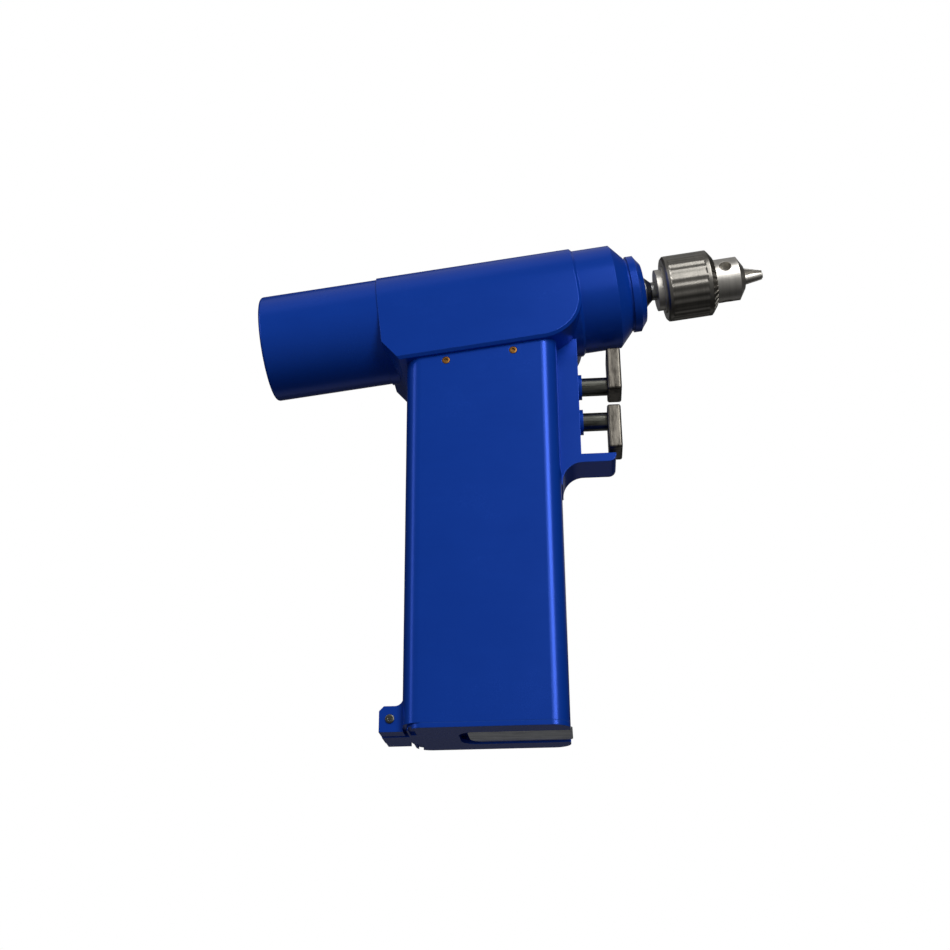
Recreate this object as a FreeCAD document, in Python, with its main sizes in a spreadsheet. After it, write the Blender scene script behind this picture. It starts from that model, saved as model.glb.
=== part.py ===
import FreeCAD, Part
import os
import re
import Sketcher

# Surgical power drill. Millimetres, +Z up the handle, +X forward, origin on the underside of the battery lid.
# Positions in the handle are given from the middle of the barrel axis; frame_shift moves them to the origin.
# Stations along the barrel are measured forward from the point where its axis crosses the handle's zero line.

doc = FreeCAD.newDocument("SurgicalDrill")
sheet = doc.addObject("Spreadsheet::Sheet", "Sizes")

SIZES = [
    ("frame_shift", 14.0, "distance from the rest point to the handle's zero line"),
    ("trigger_zone", 74.8, "barrel axis above the battery case"),
    ("barrel_tilt", 6.8, "rise of the barrel towards the chuck, degrees"),
    ("fit_gap", 0.05, "radial clearance of every running or slip fit"),
    ("seat_gap", 0.3, "clearance between pieces that must not touch"),
    ("body_step", 0.6, "how far the main housing stands out from the motor tube"),
    ("floor_step", 3.3, "flat underside below the round of the main housing"),
    ("nose_step", 1.1, "step down to the round front, and bevel of the flat sides"),
    ("body_back", 38.4, "rear face of the main housing"),
    ("body_front", 45.5, "front of the flat sides"),
    ("side_corner", 18.0, "rounded lower front corner of the flat sides"),
    ("rear_cut_rise", 8.9, "height of the cut rear corner"),
    ("rear_cut_run", 6.2, "length of the cut rear corner"),
    ("nose_end", 61.0, "end of the round front"),
    ("cone_end", 66.5, "front end of the main housing"),
    ("cone_radius", 16.0, "radius at the front end"),
    ("bore_step", 1.5, "steps between the tube's spigot, the gearbox bore and the motor can"),
    ("ring_rim", 2.55, "rim of the ring gear behind its teeth"),
    ("gearbox_end", 8.0, "front wall of the gearbox"),
    ("bearing_bore", 14.05, "bore round the spindle bearings"),
    ("lip_bore", 12.0, "hole in the gearbox front wall"),
    ("tube_radius", 22.5, "motor tube outside"),
    ("tube_wall", 2.9, "motor tube wall"),
    ("tube_back", 88.9, "rear end of the motor tube"),
    ("tube_round", 1.3, "rounded rear edge"),
    ("spigot_step", 1.5, "how far the spigot lies inside the tube's surface"),
    ("spigot_length", 8.4, "its length"),
    ("seal_depth", 0.8, "depth of the seal groove"),
    ("seal_width", 2.0, "width of the seal groove"),
    ("can_wall", 2.0, "motor can wall"),
    ("can_length", 62.0, "motor can length"),
    ("can_end", 4.0, "thickness of the can's end walls"),
    ("plate_length", 6.0, "motor front plate"),
    ("ring_gear_length", 22.0, "ring gear sleeve"),
    ("stator_bore", 10.0, "bore of the stator"),
    ("stator_length", 38.0, "length of the stator"),
    ("stator_slots", 6, "number of winding slots"),
    ("magnet_radius", 9.4, "rotor magnet"),
    ("motor_shaft_radius", 2.5, "motor shaft"),
    ("motor_bearing_radius", 5.0, "small bearings in the motor can"),
    ("sun_teeth", 18, "teeth of the sun gear and of each planet"),
    ("ring_teeth", 54, "teeth of the ring gear"),
    ("tooth_play", 0.06, "how much each flank is set back"),
    ("gear_face", 10.0, "length of the gear teeth"),
    ("planet_pin_radius", 1.5, "planet pins"),
    ("carrier_gap", 4.5, "planet carrier inside the gearbox bore"),
    ("carrier_length", 6.5, "planet carrier"),
    ("spindle_radius", 6.0, "spindle in its bearings"),
    ("spindle_seat", 5.0, "spindle in the planet carrier"),
    ("collar_radius", 6.35, "steel collar in front of the nose nut"),
    ("collar_end", 74.4, "front end of the collar"),
    ("arbor_radius", 3.9, "neck that carries the chuck"),
    ("bearing_width", 8.0, "spindle bearings"),
    ("bearing_front", 48.0, "rear face of the front bearing"),
    ("ring_thick", 2.4, "thickness of a bearing ring"),
    ("ball_count", 8, "balls in each spindle bearing"),
    ("nut_radius", 16.2, "nose nut rim"),
    ("nut_neck", 15.5, "groove behind the rim"),
    ("nut_end", 74.0, "front face of the nose nut"),
    ("nut_bore", 6.8, "hole in the nose nut"),
    ("chuck_back", 79.1, "rear face of the chuck"),
    ("flange_radius", 8.8, "rear flange of the chuck"),
    ("sleeve_radius", 14.0, "chuck sleeve"),
    ("sleeve_back", 82.4, "rear face of the sleeve"),
    ("sleeve_teeth", 101.6, "where the toothed bevel begins"),
    ("sleeve_front", 104.1, "front face of the sleeve"),
    ("sleeve_nose", 10.5, "radius at the front of the teeth"),
    ("hub_radius", 10.0, "chuck body inside the sleeve"),
    ("head_radius", 9.3, "chuck body in front of the sleeve"),
    ("head_end", 114.1, "front end of the cylinder"),
    ("mouth_end", 116.7, "front end of the chuck body"),
    ("mouth_radius", 5.2, "radius at the front end"),
    ("flute_count", 36, "grip flutes round the sleeve"),
    ("bevel_count", 30, "teeth for the chuck key"),
    ("jaw_radius", 2.1, "jaw rods"),
    ("jaw_tilt", 15.0, "slope of the jaws, degrees"),
    ("jaw_tip", 124.75, "front end of the jaws"),
    ("jaw_tip_radius", 1.9, "outer radius at the tips"),
    ("jaw_length", 26.0, "length of a jaw rod"),
    ("jaw_travel", 8.0, "how far a jaw slides back"),
    ("bit_radius", 0.9, "groove for the drill bit between the closed jaws"),
    ("key_hole_radius", 2.5, "holes for the chuck key"),
    ("key_hole_station", 108.5, "their place"),
    ("chuck_turn", 20.0, "how far the chuck stands turned about its axis, degrees"),
    ("grip_back", 26.3, "rear face of the handle"),
    ("grip_front", 35.3, "front face of the handle"),
    ("grip_half", 20.7, "half the handle's width"),
    ("grip_corner", 6.4, "rounded upright edges of the handle"),
    ("grip_wall", 2.0, "wall of the handle shell"),
    ("lid_thick", 1.85, "rim of the battery lid"),
    ("lid_relief", 1.6, "gap between the rear edge of the lid and the hinge lug"),
    ("lid_boss", 6.0, "top of the lid's raised middle"),
    ("lug_back", 35.3, "rear face of the hinge lug"),
    ("lug_half", 13.3, "half the lug's width"),
    ("lug_height", 10.0, "top of the lug"),
    ("lug_fillet", 3.1, "hollow corner above the lug"),
    ("knuckle_half", 5.0, "half the width of the lid's knuckle"),
    ("knuckle_radius", 4.6, "knuckle of the lid"),
    ("pin_back", 31.2, "hinge pin behind the zero line"),
    ("pin_height", 5.2, "hinge pin above the lid's underside"),
    ("pin_radius", 1.5, "hinge pin"),
    ("pin_head", 1.75, "heads of the hinge pin"),
    ("latch_back", 3.0, "rear end of the latch behind the zero line"),
    ("latch_front", 36.1, "front end of the latch"),
    ("latch_half", 10.5, "half the latch's width"),
    ("latch_sink", 0.8, "how deep the latch lies under the lid's face"),
    ("latch_thick", 0.75, "latch plate"),
    ("latch_round", 6.0, "rounded rear corners of the latch"),
    ("latch_travel", 3.0, "how far the latch slides back"),
    ("rail_height", 1.5, "wings of the latch above its plate"),
    ("rail_half", 12.5, "half the width over the wings"),
    ("tenon_depth", 7.0, "part of the main housing inside the handle shell"),
    ("tenon_wall", 2.5, "its wall"),
    ("screw_drop", 2.9, "handle screws below the joint"),
    ("screw_back", 9.7, "rear screws behind the zero line"),
    ("screw_front", 17.7, "front screws ahead of it"),
    ("screw_head", 1.65, "screw heads"),
    ("screw_shank", 1.0, "screw shanks"),
    ("neck_front", 43.7, "front face of the trigger housing"),
    ("neck_half", 8.3, "half its width"),
    ("neck_drop", 82.3, "lower end of the trigger housing below the barrel axis"),
    ("hook_drop", 69.2, "top of the hook below the barrel axis"),
    ("hook_thick", 3.6, "thickness of the hook"),
    ("hook_front", 57.6, "front end of the finger hook"),
    ("hook_fillet", 8.5, "hollow corner under the hook"),
    ("rod_radius", 3.8, "trigger plungers"),
    ("rod_back", 33.0, "rear end of the plungers"),
    ("upper_drop", 35.4, "upper plunger below the barrel axis"),
    ("lower_drop", 51.5, "lower plunger below the barrel axis"),
    ("bush_radius", 5.25, "guide bushes"),
    ("bush_front", 45.1, "front end of the bushes"),
    ("plate_half", 7.0, "half the width of the trigger plates"),
    ("upper_plate_low", 4.4, "upper trigger plate below its plunger"),
    ("upper_plate_tall", 19.1, "its height"),
    ("lower_plate_low", 14.6, "lower trigger plate below its plunger"),
    ("lower_plate_tall", 19.3, "its height"),
    ("upper_plate_back", 55.6, "upper trigger plate"),
    ("upper_plate_front", 61.5, "upper trigger plate"),
    ("lower_plate_back", 54.9, "lower trigger plate"),
    ("lower_plate_front", 60.5, "lower trigger plate"),
    ("strip_front", 24.0, "front face of the sensor strip"),
    ("strip_thick", 2.0, "sensor strip"),
    ("coil_radius", 2.8, "return springs"),
    ("wire_radius", 0.35, "spring wire"),
    ("coil_turns", 5, "turns of a return spring"),
    ("case_wall", 1.2, "wall of the battery case"),
    ("cell_radius", 8.3, "battery cells"),
    ("cell_length", 47.0, "battery cells"),
    ("cell_space", 4.5, "room above the battery cells"),
    ("cap_thick", 2.5, "battery cap"),
    ("block_gap", 5.0, "battery case to the contact block"),
    ("block_thick", 8.5, "contact block with its posts"),
    ("block_plate", 5.0, "contact block without its posts"),
    ("contact_pitch", 12.5, "distance between the contacts"),
    ("contact_half", 2.5, "half the length of a contact"),
    ("contact_side", 4.0, "half the width of a contact"),
    ("contact_thick", 0.5, "thickness of a contact"),
    ("board_thick", 1.6, "control board"),
    ("board_inset", 2.3, "control board inside the shell"),
    ("chip_half", 3.5, "half the size of a part on the board"),
    ("chip_tall", 3.5, "height of a part on the board"),
    ("seal_length", 4.0, "shaft seal"),
]

for row, (alias, number, note) in enumerate(SIZES, start=1):
    sheet.set("A%d" % row, alias)
    sheet.set("B%d" % row, str(number))
    sheet.setAlias("B%d" % row, alias)
    sheet.set("C%d" % row, note)
doc.recompute()

NODES = []

# Sizes that follow from the driving ones: the barrel from the motor tube, the heights from the battery cells.
WORKED_OUT = {
    "case_top": "(lid_boss + seat_gap + case_wall + 2 * cell_length + cell_space)",
    "barrel_height": "(case_top + trigger_zone)",
    "block_bottom": "(case_top + block_gap)",
    "block_top": "(block_bottom + block_thick)",
    "upper_height": "(barrel_height - upper_drop)",
    "lower_height": "(barrel_height - lower_drop)",
    "upper_plate_bottom": "(upper_height - upper_plate_low)",
    "upper_plate_top": "(upper_plate_bottom + upper_plate_tall)",
    "lower_plate_bottom": "(lower_height - lower_plate_low)",
    "lower_plate_top": "(lower_plate_bottom + lower_plate_tall)",
    "hook_top": "(barrel_height - hook_drop)",
    "hook_bottom": "(hook_top - hook_thick)",
    "neck_bottom": "(barrel_height - neck_drop)",
    "body_radius": "(tube_radius + body_step)",
    "body_drop": "(body_radius + floor_step)",
    "nose_radius": "(body_radius - nose_step)",
    "spigot_radius": "(tube_radius - spigot_step)",
    "gearbox_bore": "(spigot_radius - bore_step)",
    "can_radius": "(gearbox_bore - bore_step)",
    "tooth_module": "((gearbox_bore - ring_rim) / (ring_teeth / 2 + 1.25))",
    "carrier_radius": "(gearbox_bore - carrier_gap)",
}

# Formulas that several pieces share.
PLUG_START = "(-body_back + spigot_length)"
PLATE_START = "(gearbox_end - ring_gear_length - plate_length)"
CAN_START = "(%s - can_length)" % PLATE_START
GEAR_END = "(gearbox_end - ring_gear_length / 2 + 1)"
GEAR_START = "(%s - gear_face)" % GEAR_END
CARRIER_END = "(%s + 0.5 + carrier_length)" % GEAR_END
ORBIT = "(tooth_module * sun_teeth)"
BEARING_START = "(gearbox_end + 1)"
SEAL_START = "(bearing_front + bearing_width)"
BALL_ORBIT = "((spindle_radius + bearing_bore) / 2)"
SHELL_BACK = "(-grip_back + grip_wall)"
SHELL_FRONT = "(grip_front - grip_wall)"
SHELL_HALF = "(grip_half - grip_wall)"
SHELL_MIDDLE = "((grip_front - grip_back) / 2)"
BOARD_BACK = "(-grip_back + grip_wall + board_inset)"
BOARD_HALF = "(grip_half - grip_wall - board_inset)"
CASE_BOTTOM = "(lid_boss + seat_gap)"


def formula(text):
    """Write out the worked-out sizes and put the sheet's name before every named size."""
    text = str(text)
    names = "|".join(WORKED_OUT)
    while re.search(r"\b(%s)\b" % names, text):
        text = re.sub(r"\b(%s)\b" % names, lambda found: WORKED_OUT[found.group(1)], text)
    return re.sub(r"\b([a-z]+(?:_[a-z]+)+)\b", r"Sizes.\1", text)


def value(text):
    return float(sheet.evalExpression(formula(text)))


def under(place):
    """Height of the main housing's flat underside above a place along the handle."""
    return "(barrel_height - body_drop / cos(barrel_tilt) + (%s) * tan(barrel_tilt))" % place


def along(place, height):
    """Station along the barrel of a point given by its place and height."""
    return "((%s) * cos(barrel_tilt) + ((%s) - barrel_height) * sin(barrel_tilt))" % (place, height)


def above(place, height):
    """Distance above the barrel axis of a point given by its place and height."""
    return "(((%s) - barrel_height) * cos(barrel_tilt) - (%s) * sin(barrel_tilt))" % (height, place)


def bind(thing, **sizes):
    """Set properties from formulas and keep them bound to the sheet."""
    for name, text in sizes.items():
        path = name.replace("__", ".")
        thing.setExpression(path, formula(text))


def in_barrel(thing, shift="frame_shift"):
    """Put a piece in the tilted frame of the barrel."""
    place = FreeCAD.Vector(value(shift), 0, value("barrel_height"))
    turn = FreeCAD.Rotation(FreeCAD.Vector(0, -1, 0), value("barrel_tilt"))
    thing.Placement = FreeCAD.Placement(place, turn)
    bind(thing, Placement__Base__x=shift, Placement__Base__z="barrel_height",
         Placement__Rotation__Angle="barrel_tilt")


def in_handle(thing):
    """Put a piece in the upright frame of the handle."""
    bind(thing, Placement__Base__x="frame_shift")


def in_barrel_turned(thing, degrees, offset="0"):
    """Put a piece in the barrel frame, turned about the axis and set off from it."""
    frame = FreeCAD.Placement(
        FreeCAD.Vector(value("frame_shift"), 0, value("barrel_height")),
        FreeCAD.Rotation(FreeCAD.Vector(0, -1, 0), value("barrel_tilt")))
    turn = FreeCAD.Placement(FreeCAD.Vector(0, 0, 0), FreeCAD.Rotation(FreeCAD.Vector(1, 0, 0), degrees))
    lift = FreeCAD.Placement(FreeCAD.Vector(0, 0, value(offset)), FreeCAD.Rotation())
    thing.Placement = frame.multiply(turn).multiply(lift)


def node(thing, name):
    """Name a finished sub-part."""
    thing.Label = name
    NODES.append(thing)
    return thing


def new_body(name):
    return doc.addObject("PartDesign::Body", name)


def add_sketch(body, plane, loops, offset="0"):
    """A sketch of closed loops: lists of corners, or circles given as (x, y, radius)."""
    sketch = body.newObject("Sketcher::SketchObject", body.Name + "_sketch")
    support = [part for part in body.Origin.OriginFeatures if part.Role == plane][0]
    sketch.AttachmentSupport = [(support, "")]
    sketch.MapMode = "FlatFace"
    bind(sketch, AttachmentOffset__Base__z=offset)
    for loop in loops:
        if isinstance(loop, tuple):
            add_circle(sketch, loop)
        else:
            add_corners(sketch, loop)
    return sketch


def add_circle(sketch, loop):
    across, up, radius = loop
    centre = FreeCAD.Vector(value(across), value(up), 0)
    edge = sketch.addGeometry(Part.Circle(centre, FreeCAD.Vector(0, 0, 1), value(radius)), False)
    for kind, text in (("DistanceX", across), ("DistanceY", up)):
        index = sketch.addConstraint(Sketcher.Constraint(kind, -1, 1, edge, 3, value(text)))
        sketch.setExpression("Constraints[%d]" % index, formula(text))
    index = sketch.addConstraint(Sketcher.Constraint("Radius", edge, value(radius)))
    sketch.setExpression("Constraints[%d]" % index, formula(radius))


def add_corners(sketch, corners):
    places = [FreeCAD.Vector(value(across), value(up), 0) for across, up in corners]
    edges = []
    for index, start in enumerate(places):
        end = places[(index + 1) % len(places)]
        edges.append(sketch.addGeometry(Part.LineSegment(start, end), False))
    for index, edge in enumerate(edges):
        following = edges[(index + 1) % len(edges)]
        sketch.addConstraint(Sketcher.Constraint("Coincident", edge, 2, following, 1))
    for edge, (across, up) in zip(edges, corners):
        for kind, text in (("DistanceX", across), ("DistanceY", up)):
            index = sketch.addConstraint(Sketcher.Constraint(kind, -1, 1, edge, 1, value(text)))
            sketch.setExpression("Constraints[%d]" % index, formula(text))


def turn_profile(body, corners, cut=False):
    """Revolve a profile of (station, radius) corners about the body's X axis."""
    sketch = add_sketch(body, "XZ_Plane", [corners])
    kind = "PartDesign::Groove" if cut else "PartDesign::Revolution"
    feature = body.newObject(kind, body.Name + "_turned")
    feature.Profile = sketch
    feature.ReferenceAxis = (sketch, ["H_Axis"])
    feature.Angle = 360
    body.Tip = feature
    return feature


def pull(body, plane, loops, start, end, cut=False):
    """Extrude loops along the plane's normal from start to end, adding or cutting."""
    sketch = add_sketch(body, plane, loops, start)
    kind = "PartDesign::Pocket" if cut else "PartDesign::Pad"
    feature = body.newObject(kind, body.Name + "_pulled")
    feature.Profile = sketch
    feature.Reversed = cut
    bind(feature, Length="(%s) - (%s)" % (end, start))
    body.Tip = feature
    return feature


def slab(body, loops, half, cut=False):
    """Extrude loops drawn in the side view equally to both sides."""
    sketch = add_sketch(body, "XZ_Plane", loops)
    kind = "PartDesign::Pocket" if cut else "PartDesign::Pad"
    feature = body.newObject(kind, body.Name + "_slab")
    feature.Profile = sketch
    feature.SideType = "Symmetric"
    bind(feature, Length="2 * (%s)" % half)
    body.Tip = feature
    return feature


def rectangle(left, right, bottom, top):
    return [(left, bottom), (right, bottom), (right, top), (left, top)]


def clipped(left, right, half, corner):
    """A rectangle, equally wide about the middle, with its corners cut off."""
    return [
        ("%s + %s" % (left, corner), "-(%s)" % half), ("%s - %s" % (right, corner), "-(%s)" % half),
        (right, "-(%s) + %s" % (half, corner)), (right, "(%s) - %s" % (half, corner)),
        ("%s - %s" % (right, corner), half), ("%s + %s" % (left, corner), half),
        (left, "(%s) - %s" % (half, corner)), (left, "-(%s) + %s" % (half, corner))]


def repeat(body, feature, count):
    """Repeat a feature evenly about the body's X axis."""
    pattern = body.newObject("PartDesign::PolarPattern", body.Name + "_pattern")
    pattern.Originals = [feature]
    axis = [part for part in body.Origin.OriginFeatures if part.Role == "X_Axis"][0]
    pattern.Axis = (axis, [""])
    pattern.Angle = 360
    bind(pattern, Occurrences=count)
    body.Tip = pattern
    return pattern


def soften(body, radius, wanted, kind="PartDesign::Fillet"):
    """Round or bevel the edges for which wanted(edge) is true."""
    doc.recompute()
    base = body.Tip
    names = ["Edge%d" % index for index, edge in enumerate(base.Shape.Edges, start=1) if wanted(edge)]
    feature = body.newObject(kind, body.Name + "_edge")
    feature.Base = (base, names)
    if kind == "PartDesign::Fillet":
        bind(feature, Radius=radius)
    else:
        bind(feature, Size=radius)
    body.Tip = feature
    return feature


def straight_along(edge, axis):
    """True for a straight edge parallel to the named axis."""
    if edge.Curve.TypeId != "Part::GeomLine":
        return False
    box = edge.BoundBox
    lengths = {"x": box.XLength, "y": box.YLength, "z": box.ZLength}
    own = lengths.pop(axis)
    return own > 0.01 and max(lengths.values()) < 0.001


def ring_body(name, start, end, outer, inner="0"):
    """A plain ring or disc on the barrel axis."""
    body = new_body(name)
    turn_profile(body, [(start, inner), (end, inner), (end, outer), (start, outer)])
    in_barrel(body)
    return node(body, name)


def rod(name, radius, length, base, direction):
    """A cylinder from a base point along a direction."""
    cylinder = doc.addObject("Part::Cylinder", name)
    bind(cylinder, Radius=radius, Height=length)
    turn = FreeCAD.Rotation(FreeCAD.Vector(0, 0, 1), FreeCAD.Vector(*direction))
    place = FreeCAD.Vector(*[value(text) for text in base])
    cylinder.Placement = FreeCAD.Placement(place, turn)
    bind(cylinder, Placement__Base__x=base[0], Placement__Base__y=base[1], Placement__Base__z=base[2])
    return cylinder


def block(name, left, right, half, bottom, top, middle="0"):
    """A box between two places, two heights and equally wide about a middle."""
    box = doc.addObject("Part::Box", name)
    bind(box, Length="(%s) - (%s)" % (right, left), Width="2 * (%s)" % half,
         Height="(%s) - (%s)" % (top, bottom), Placement__Base__x=left,
         Placement__Base__y="(%s) - (%s)" % (middle, half), Placement__Base__z=bottom)
    return box


def group(name, members):
    """Several separate solids kept as one sub-part."""
    compound = doc.addObject("Part::Compound", name)
    compound.Links = members
    return compound


def cut(name, base, tool):
    result = doc.addObject("Part::Cut", name)
    result.Base = base
    result.Tool = tool
    return result


def involute(radius, teeth):
    """How far the flank has turned at a radius, in degrees."""
    base = "(tooth_module * %s * cos(20) / 2)" % teeth
    angle = "acos(%s / (%s))" % (base, radius)
    return "(tan(%s) * 180 / pi - %s / 1deg)" % (angle, angle)


def flank(radius, teeth, inward):
    """Half the width of a tooth at a radius, in degrees."""
    pitch = "(tooth_module * %s / 2)" % teeth
    spread = "(%s - %s)" % (involute(pitch, teeth), involute(radius, teeth))
    sign = "-" if inward else "+"
    return "(90 / %s %s %s - tooth_play / %s * 180 / pi)" % (teeth, sign, spread, pitch)


def tooth(teeth, inward):
    """Corners of one tooth that points up."""
    pitch = "(tooth_module * %s / 2)" % teeth
    if inward:
        tip = "(%s - tooth_module)" % pitch
        root = "(%s + 1.25 * tooth_module)" % pitch
        marks = [(tip, tip), (pitch, pitch), (root, root), ("(%s + 0.3)" % root, root)]
    else:
        tip = "(%s + tooth_module)" % pitch
        base = "(%s * cos(20) + 0.001)" % pitch
        root = "(%s - 1.25 * tooth_module - 0.2)" % pitch
        marks = [(tip, tip), (pitch, pitch), (base, base), (root, base)]
    right = []
    left = []
    for radius, measure in marks:
        angle = flank(measure, teeth, inward)
        right.append(("%s * sin(%s)" % (radius, angle), "%s * cos(%s)" % (radius, angle)))
        left.append(("-%s * sin(%s)" % (radius, angle), "%s * cos(%s)" % (radius, angle)))
    return right + left[::-1]


def gear(name, bore):
    """A spur gear with the sun's tooth count, a tooth pointing up."""
    body = new_body(name)
    root = "(tooth_module * sun_teeth / 2 - 1.25 * tooth_module)"
    turn_profile(body, [(GEAR_START, bore), (GEAR_END, bore), (GEAR_END, root), (GEAR_START, root)])
    one = pull(body, "YZ_Plane", [tooth("sun_teeth", False)], GEAR_START, GEAR_END)
    repeat(body, one, "sun_teeth")
    return node(body, name)


def housing_outline():
    """Outer form of the main housing with the part that enters the handle."""
    body = new_body("housing_outline")
    slab(body, [[
        ("-body_back", "0"), ("-body_back", "-body_drop + rear_cut_rise"),
        ("-body_back + rear_cut_run", "-body_drop"), ("body_front", "-body_drop"), ("body_front", "0")]],
        "body_radius")
    front = value("body_front")
    low = value("-body_drop")
    soften(body, "side_corner", lambda edge: straight_along(edge, "y")
           and abs(edge.CenterOfMass.x - front) < 0.01 and abs(edge.CenterOfMass.z - low) < 0.01)
    wide = value("body_radius")
    corner = value("side_corner")
    soften(body, "nose_step", lambda edge: abs(abs(edge.CenterOfMass.y) - wide) < 0.01
           and edge.BoundBox.XMax > front - 0.01 and (straight_along(edge, "z") or edge.BoundBox.XLength > 1
           and abs(edge.BoundBox.XLength - corner) < 0.01), "PartDesign::Chamfer")
    turn_profile(body, [
        ("-body_back", "0"), ("-body_back", "body_radius"), ("body_front - nose_step", "body_radius"),
        ("body_front", "nose_radius"), ("nose_end", "nose_radius"), ("cone_end", "cone_radius"),
        ("cone_end", "0")])
    left = "%s + seat_gap" % SHELL_BACK
    right = "%s - seat_gap" % SHELL_FRONT
    half = "%s - seat_gap" % SHELL_HALF
    slab(body, [tenon(left, right)], half)
    inner_left = "%s + tenon_wall" % left
    inner_right = "%s - tenon_wall" % right
    slab(body, [tenon(inner_left, inner_right, "0", "tenon_depth + 1")], "%s - tenon_wall" % half, cut=True)
    in_barrel(body, "0")
    return body


def tenon(left, right, rise="1", depth="tenon_depth"):
    """Side view of the part of the main housing that enters the handle."""
    corners = []
    for place, offset in ((left, rise), (left, "-(%s)" % depth), (right, "-(%s)" % depth), (right, rise)):
        height = "%s + %s" % (under(place), offset)
        corners.append((along(place, height), above(place, height)))
    return corners


def make_main_housing(outline):
    bores = new_body("housing_bores")
    turn_profile(bores, [
        ("-body_back - 1", "0"), ("-body_back - 1", "spigot_radius + fit_gap"),
        ("%s + seat_gap" % PLUG_START, "spigot_radius + fit_gap"), ("%s + seat_gap" % PLUG_START, "gearbox_bore"),
        ("gearbox_end", "gearbox_bore"), ("gearbox_end", "lip_bore"), (BEARING_START, "lip_bore"),
        (BEARING_START, "bearing_bore"), ("cone_end + 1", "bearing_bore"), ("cone_end + 1", "0")])
    in_barrel(bores, "0")
    wires = rod("wire_passage", "4", "30", ("-16", "0", "barrel_height - 40"), (0, 0, 1))
    screws = [screw_hole(side, place) for side in (-1, 1) for place in ("-screw_back", "screw_front")]
    housing = cut("main_housing", outline, group("housing_cuts", [bores, wires] + screws))
    in_handle(housing)
    return node(housing, "main_housing")


def screw_hole(side, place):
    height = "%s - screw_drop" % under(place)
    return rod("screw_hole", "screw_shank + fit_gap", "7", (place, "%d * grip_half" % side, height),
               (0, -side, 0))


def make_motor_tube():
    body = new_body("motor_tube")
    inner = "tube_radius - tube_wall"
    turn_profile(body, [
        ("-tube_back", "0"), ("-tube_back", "tube_radius"), ("-body_back", "tube_radius"),
        ("-body_back", "spigot_radius"), (PLUG_START, "spigot_radius"), (PLUG_START, inner),
        ("-tube_back + tube_wall", inner), ("-tube_back + tube_wall", "0")])
    end = value("-tube_back")
    rim = value("tube_radius")
    soften(body, "tube_round", lambda edge: abs(edge.CenterOfMass.x - end) < 0.01
           and abs(edge.BoundBox.ZMax - rim) < 0.01 and edge.BoundBox.XLength < 0.01)
    groove = "-body_back + spigot_length / 2"
    turn_profile(body, [
        (groove, "spigot_radius - seal_depth"), (groove, "spigot_radius + 1"),
        (groove + " + seal_width", "spigot_radius + 1"), (groove + " + seal_width", "spigot_radius - seal_depth")],
        cut=True)
    in_barrel(body)
    node(body, "motor_tube")
    ring_body("tube_seal", groove + " + fit_gap", groove + " + seal_width - fit_gap",
              "spigot_radius", "spigot_radius - seal_depth + fit_gap")


def make_motor():
    ring_body("motor_pad", "-tube_back + tube_wall", CAN_START, "can_radius - 1")
    can = new_body("motor_can")
    seat = "motor_bearing_radius + fit_gap"
    inner = "can_radius - can_wall"
    turn_profile(can, [
        (CAN_START, seat), (CAN_START, "can_radius"), (PLATE_START, "can_radius"), (PLATE_START, seat),
        ("%s - can_end" % PLATE_START, seat), ("%s - can_end" % PLATE_START, inner),
        ("%s + can_end" % CAN_START, inner), ("%s + can_end" % CAN_START, seat)])
    in_barrel(can)
    node(can, "motor_can")
    middle = "(%s + can_length / 2)" % CAN_START
    start = "(%s - stator_length / 2)" % middle
    end = "(%s + stator_length / 2)" % middle
    stator = new_body("motor_stator")
    outer = "can_radius - can_wall - fit_gap"
    turn_profile(stator, [(start, "stator_bore"), (end, "stator_bore"), (end, outer), (start, outer)])
    slot = pull(stator, "YZ_Plane", [rectangle("-1.6", "1.6", "stator_bore - 1", "can_radius - can_wall - 1.5")],
                start, end, cut=True)
    repeat(stator, slot, "stator_slots")
    in_barrel(stator)
    node(stator, "motor_stator")
    ring_body("rotor_magnet", start, end, "magnet_radius", "motor_shaft_radius")
    ring_body("motor_shaft", "%s + 1" % CAN_START, GEAR_END, "motor_shaft_radius")
    rings = []
    for name, first in (("rear_bearing", CAN_START), ("front_bearing", "%s - can_end" % PLATE_START)):
        body = new_body(name)
        inner = "motor_shaft_radius + fit_gap"
        turn_profile(body, [
            (first + " + 0.5", inner), (first + " + can_end - 0.5", inner),
            (first + " + can_end - 0.5", "motor_bearing_radius"), (first + " + 0.5", "motor_bearing_radius")])
        rings.append(body)
    bearings = group("motor_bearings", rings)
    in_barrel(bearings)
    node(bearings, "motor_bearings")
    ring_body("motor_front_plate", PLATE_START, "%s + plate_length" % PLATE_START, "gearbox_bore - fit_gap",
              "motor_shaft_radius + 1.5")


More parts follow.
